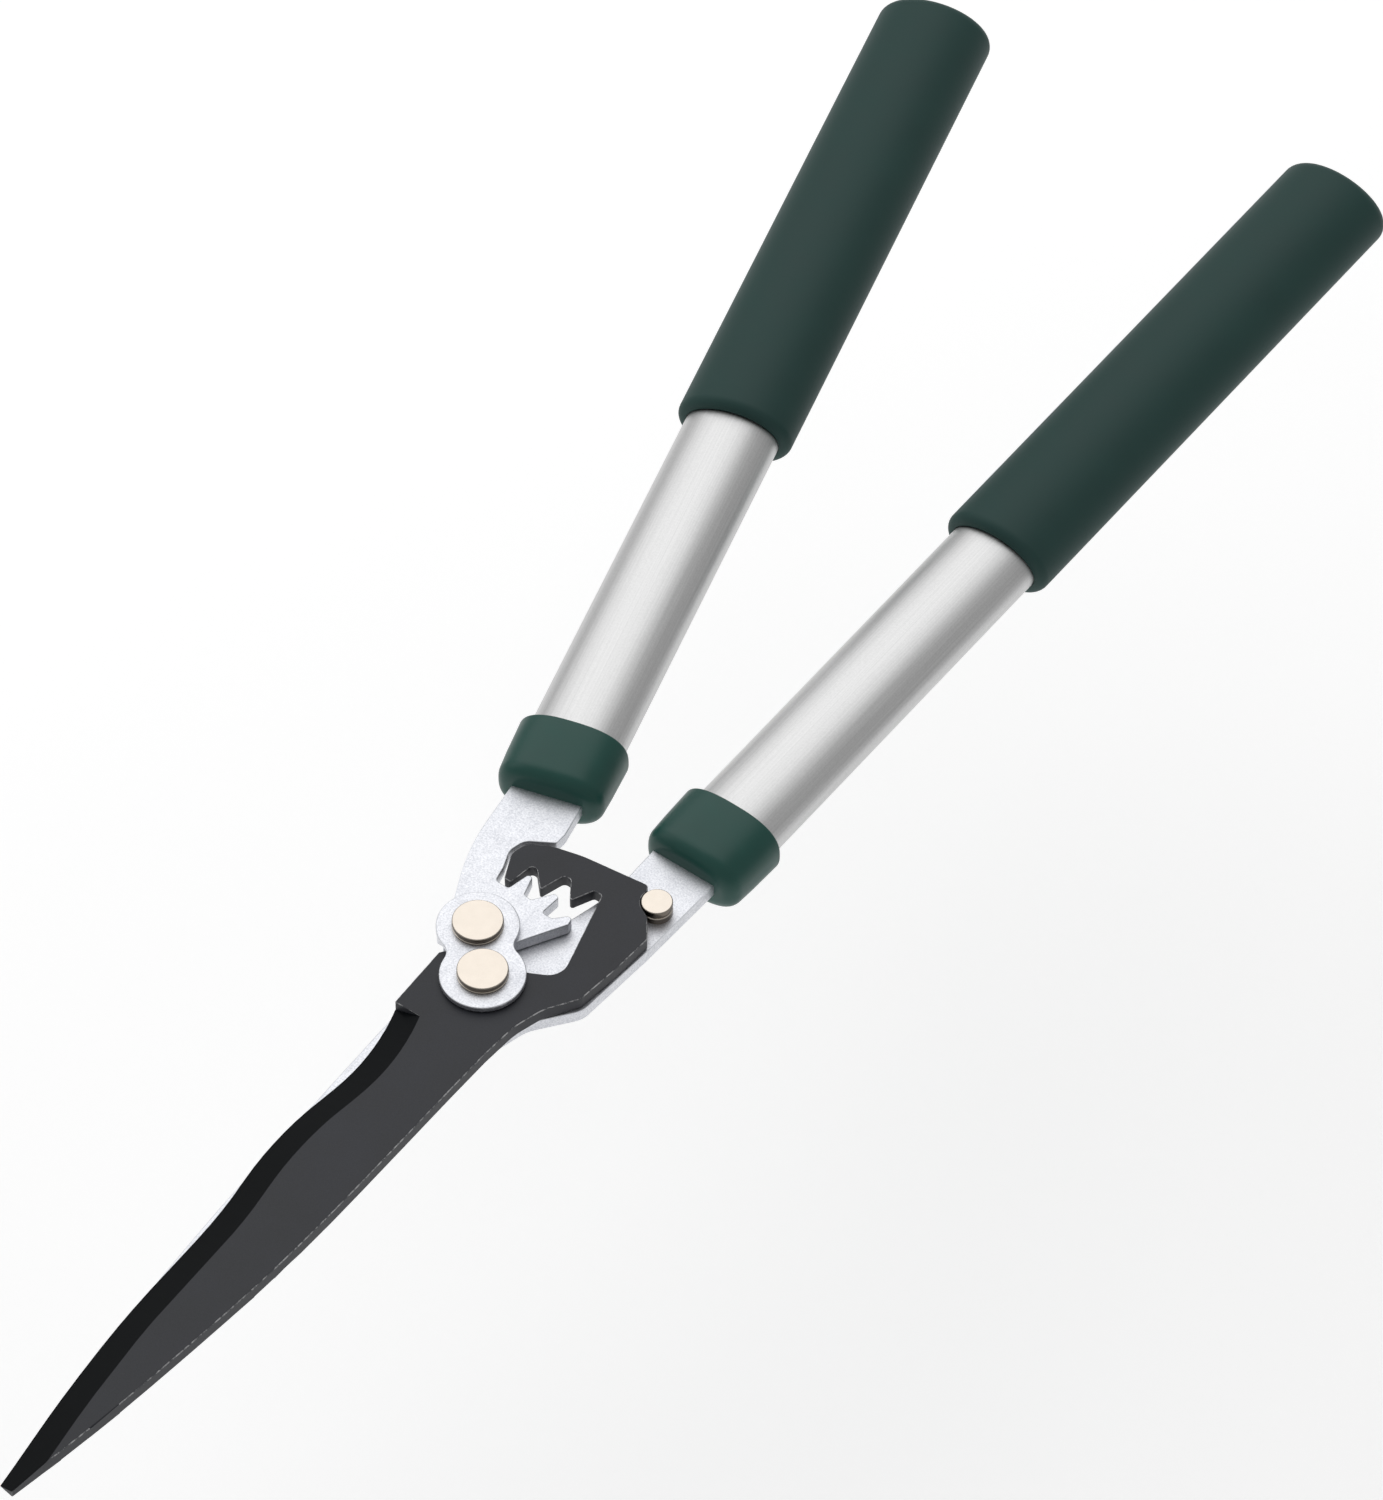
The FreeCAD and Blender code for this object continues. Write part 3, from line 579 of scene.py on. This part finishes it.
polypropylene, tree = new_material("moulded_polypropylene")
own = add(tree, "ShaderNodeAttribute", attribute_name="own_axes")
flow = add(tree, "ShaderNodeTexNoise", {"Scale": 1 / MOULD_FLOW, "Detail": 3.0},
           {"Vector": own.outputs["Vector"]})
spark = add(tree, "ShaderNodeTexNoise", {"Scale": 1 / MOULD_SPARK, "Detail": 2.0},
            {"Vector": own.outputs["Vector"]})
colour = add(tree, "ShaderNodeMix", {6: linear("#1b463f"), 7: linear("#205048")},
             {"Factor": flow.outputs["Fac"]}, data_type="RGBA")
rough = add(tree, "ShaderNodeMapRange", {"To Min": 0.3, "To Max": 0.44},
            {"Value": flow.outputs["Fac"]})
bump = add(tree, "ShaderNodeBump", {"Strength": 0.12, "Distance": 0.03 * MM},
           {"Height": spark.outputs["Fac"]})
shader = add(tree, "ShaderNodeBsdfPrincipled", {"IOR": 1.38},
             {"Base Color": colour.outputs[2], "Roughness": rough.outputs["Result"],
              "Normal": bump.outputs["Normal"]})
add(tree, "ShaderNodeOutputMaterial", wires={"Surface": shader.outputs["BSDF"]})

# The grip is dipped soft PVC, matt, with a fine pebbled skin.
PEBBLE = 0.8 * MM
PVC_CLOUD = 14.0 * MM

soft_pvc, tree = new_material("matt_soft_pvc")
own = add(tree, "ShaderNodeAttribute", attribute_name="own_axes")
pebble = add(tree, "ShaderNodeTexVoronoi", {"Scale": 1 / PEBBLE},
             {"Vector": own.outputs["Vector"]}, feature="SMOOTH_F1")
shade = add(tree, "ShaderNodeTexNoise", {"Scale": 1 / PVC_CLOUD, "Detail": 3.0},
            {"Vector": own.outputs["Vector"]})
colour = add(tree, "ShaderNodeMix", {6: linear("#1d3a37"), 7: linear("#22423e")},
             {"Factor": shade.outputs["Fac"]}, data_type="RGBA")
rough = add(tree, "ShaderNodeMapRange", {"To Min": 0.5, "To Max": 0.62},
            {"Value": shade.outputs["Fac"]})
bump = add(tree, "ShaderNodeBump", {"Strength": 0.2, "Distance": 0.05 * MM},
           {"Height": pebble.outputs["Distance"]})
shader = add(tree, "ShaderNodeBsdfPrincipled", {"IOR": 1.36},
             {"Base Color": colour.outputs[2], "Roughness": rough.outputs["Result"],
              "Normal": bump.outputs["Normal"]})
add(tree, "ShaderNodeOutputMaterial", wires={"Surface": shader.outputs["BSDF"]})

low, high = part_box("lever_pivot_rivet")
lever_axis = (low + high) / 2 / MM
tube_profile = [(TUBE_CHAMFER, TUBE_FROM, 0), (0, TUBE_FROM + TUBE_CHAMFER, 0)]
tube_profile += [(0, TUBE_FROM + (TUBE_TO - TUBE_FROM) * i / TUBE_ROWS, 0)
                 for i in range(1, TUBE_ROWS)]
tube_profile += [(0, TUBE_TO - TUBE_CHAMFER, 0), (TUBE_CHAMFER, TUBE_TO, 0),
                 (TUBE_WALL, TUBE_TO, 0), (TUBE_WALL, TUBE_FROM, 0), (TUBE_CHAMFER, TUBE_FROM, 0)]

lip = COLLAR_A - TUBE_A
inset = COLLAR_TAPER + COLLAR_ROUND
collar_profile = [(inset, 0, 1.0), (inset, 0, 0.6), (inset, 0, 0.25)]
collar_profile += quarter(inset, COLLAR_ROUND, COLLAR_ROUND, 270, 180, 12)
collar_profile += [(0.26, 9, 0), (0.13, 14, 0)]
collar_profile += quarter(COLLAR_LIP_ROUND, COLLAR_LONG - COLLAR_LIP_ROUND, COLLAR_LIP_ROUND,
                          180, 90, 6)
collar_profile += [(lip - COLLAR_LIP_CHAMFER, COLLAR_LONG, 0),
                   (lip, COLLAR_LONG - COLLAR_LIP_CHAMFER, 0),
                   (lip, TUBE_FROM, 0), (lip, TUBE_FROM, 1.0)]

skin = GRIP_A - TUBE_A


def grip_profile(end):
    """Profile of a grip that is closed at the given station."""
    bottom = TUBE_TO + PLUG_FLANGE
    long = end - GRIP_FROM - 7.5
    shoulder = end - GRIP_DOME
    profile = [(skin, bottom, 1.0), (skin, bottom, 0), (skin, GRIP_FROM + 0.6, 0),
               (skin - 0.1, GRIP_FROM, 0)]
    profile += quarter(GRIP_FROM_ROUND, GRIP_FROM + GRIP_FROM_ROUND, GRIP_FROM_ROUND,
                       270, 180, 10)[1:]
    profile += [(0, GRIP_FROM + 3 + long * i / GRIP_ROWS, 0) for i in range(1, GRIP_ROWS)]
    profile += quarter(GRIP_END_ROUND, shoulder - GRIP_END_ROUND, GRIP_END_ROUND, 180, 90, 12)
    profile += [(GRIP_END_ROUND, shoulder + GRIP_DOME * math.sin(s * math.pi / 2), s)
                for s in (0.15, 0.3, 0.5, 0.75, 1.0)]
    return profile


# A handle's angle is in degrees.  Its foot is the point that its axis leaves from, and the
# collar starts that many mm along it.  The level is the middle of the plate that it holds.
for side, body, angle, foot, start, level, grip_end in (
        ("left", "lever_side", 104.9, (lever_axis.x + 0.24, lever_axis.y + 0.06),
         47.4, 2.2, 294.0),
        ("right", "fixed_side", 88.97, (18.8, 0.0), 62.0, -1.9, 295.8)):
    along = math.radians(angle)
    place = ((foot[0] + start * math.cos(along)) * MM, (foot[1] + start * math.sin(along)) * MM,
             level * MM)
    turn = (0.0, 0.0, along - math.pi / 2)
    for part, profile, finish, half_width, half_height, power, slot in (
            ("tube", tube_profile, anodised, TUBE_A, TUBE_B, 2.0, "tube_aluminium"),
            ("collar", collar_profile, polypropylene, COLLAR_A, COLLAR_B, COLLAR_POWER,
             "collar_plastic"),
            ("grip", grip_profile(grip_end), soft_pvc, GRIP_A, GRIP_B, 2.0, "grip_rubber")):
        node = side + "_" + part
        mesh = turn_profile(node, profile, finish, half_width, half_height, turn, place, power,
                            sides=HANDLE_SIDES)
        piece = bpy.data.objects.new(node + "_shell", mesh)
        bpy.context.scene.collection.objects.link(piece)
        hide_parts(node)
        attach(piece, body)

# ---- hidden pieces -------------------------------------------------------------------
# Acetal washers keep the plates apart, and nylon plugs and steel pins hold each tang in its
# tube.  They keep their own shapes and only get their finish here.
ACETAL_CLOUD = 3.0 * MM
NYLON_CLOUD = 4.0 * MM

acetal, tree = new_material("natural_acetal")
coordinates = add(tree, "ShaderNodeTexCoord")
flow = add(tree, "ShaderNodeTexNoise", {"Scale": 1 / ACETAL_CLOUD, "Detail": 2.0},
           {"Vector": coordinates.outputs["Object"]})
colour = add(tree, "ShaderNodeMix", {6: linear("#c9c8c2"), 7: linear("#dad9d4")},
             {"Factor": flow.outputs["Fac"]}, data_type="RGBA")
shader = add(tree, "ShaderNodeBsdfPrincipled", {"Roughness": 0.5},
             {"Base Color": colour.outputs[2]})
add(tree, "ShaderNodeOutputMaterial", wires={"Surface": shader.outputs["BSDF"]})

nylon, tree = new_material("black_nylon")
coordinates = add(tree, "ShaderNodeTexCoord")
flow = add(tree, "ShaderNodeTexNoise", {"Scale": 1 / NYLON_CLOUD, "Detail": 2.0},
           {"Vector": coordinates.outputs["Object"]})
colour = add(tree, "ShaderNodeMix", {6: linear("#1b1b1c"), 7: linear("#29292b")},
             {"Factor": flow.outputs["Fac"]}, data_type="RGBA")
shader = add(tree, "ShaderNodeBsdfPrincipled", {"Roughness": 0.55},
             {"Base Color": colour.outputs[2]})
add(tree, "ShaderNodeOutputMaterial", wires={"Surface": shader.outputs["BSDF"]})

for node, finish in (("rear_wear_washers", acetal), ("front_wear_washers", acetal),
                     ("left_tang_plug", nylon), ("right_tang_plug", nylon),
                     ("left_end_plug", nylon), ("right_end_plug", nylon),
                     ("left_cross_pins", nickel), ("right_cross_pins", nickel)):
    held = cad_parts[node]
    held.data.materials.clear()
    held.data.materials.append(finish)

# ---- studio --------------------------------------------------------------------------
# A pale floor well below the tool, which glows a little, a large soft light above and behind,
# a smaller and weaker one at the left, and an even white surround.
LENS = 273.19
SENSOR = 36.0
EYE = Vector((1.1086, -1.4159, 2.3169))
TILT = 0.6806
ROLL = 0.0065
TURN = math.radians(36.337)
FARTHEST = 50.0             # the camera sees nothing beyond this many metres

tip = Matrix(((1, 0, 0), (0, math.cos(TILT), math.sin(TILT)),
              (0, -math.sin(TILT), math.cos(TILT))))
roll = Matrix(((math.cos(ROLL), -math.sin(ROLL), 0), (math.sin(ROLL), math.cos(ROLL), 0),
               (0, 0, 1)))
facing = Matrix.Rotation(TURN, 3, "Z") @ (roll @ tip).transposed()
lens = bpy.data.cameras.new("camera")
lens.lens = LENS
lens.sensor_width = SENSOR
lens.clip_end = FARTHEST
camera = bpy.data.objects.new("camera", lens)
camera.matrix_world = Matrix.Translation(EYE) @ facing.to_4x4()
bpy.context.scene.collection.objects.link(camera)
bpy.context.scene.camera = camera

FLOOR_DROP = 0.2            # metres below the tool
FLOOR_HALF = 6.0
FLOOR_GLOW = 0.3
low, high = cad_box
floor_z = low[2] - FLOOR_DROP
floor_mesh = bpy.data.meshes.new("floor")
floor_mesh.from_pydata([(x * FLOOR_HALF, y * FLOOR_HALF, floor_z)
                        for x, y in ((-1, -1), (1, -1), (1, 1), (-1, 1))], [], [(0, 1, 2, 3)])
paper, tree = new_material("white_paper_sweep")
coordinates = add(tree, "ShaderNodeTexCoord")
fibre = add(tree, "ShaderNodeTexNoise", {"Scale": 6.0}, {"Vector": coordinates.outputs["Object"]})
colour = add(tree, "ShaderNodeMix", {6: linear("#f6f6f6"), 7: linear("#f9f9f9")},
             {"Factor": fibre.outputs["Fac"]}, data_type="RGBA")
shader = add(tree, "ShaderNodeBsdfPrincipled",
             {"Roughness": 0.9, "Emission Color": linear("#ffffff"),
              "Emission Strength": FLOOR_GLOW},
             {"Base Color": colour.outputs[2]})
add(tree, "ShaderNodeOutputMaterial", wires={"Surface": shader.outputs["BSDF"]})
floor_mesh.materials.append(paper)
floor = bpy.data.objects.new("floor", floor_mesh)
bpy.context.scene.collection.objects.link(floor)

TARGET = Vector((0.0, 0.05, 0.0))
LIGHT_DISTANCE = 2.0
SURROUND = 0.42

# A light's direction from the target, its side in metres and its power in watts.
for name, direction, size, power in (("key", (-0.42, 0.42, 0.80), 2.4, 20.0),
                                     ("fill", (-0.85, -0.30, 0.60), 1.2, 3.0)):
    lamp = bpy.data.lights.new(name, "AREA")
    lamp.energy = power
    lamp.shape = "SQUARE"
    lamp.size = size
    shine = bpy.data.objects.new(name, lamp)
    heading = Vector(direction).normalized()
    shine.location = TARGET + heading * LIGHT_DISTANCE
    shine.rotation_euler = heading.to_track_quat("Z", "Y").to_euler()
    bpy.context.scene.collection.objects.link(shine)

world = bpy.data.worlds.new("surround")
world.use_nodes = True
world.node_tree.nodes["Background"].inputs["Color"].default_value = (1.0, 1.0, 1.0, 1.0)
world.node_tree.nodes["Background"].inputs["Strength"].default_value = SURROUND
bpy.context.scene.world = world
bpy.context.scene.view_settings.view_transform = "Standard"
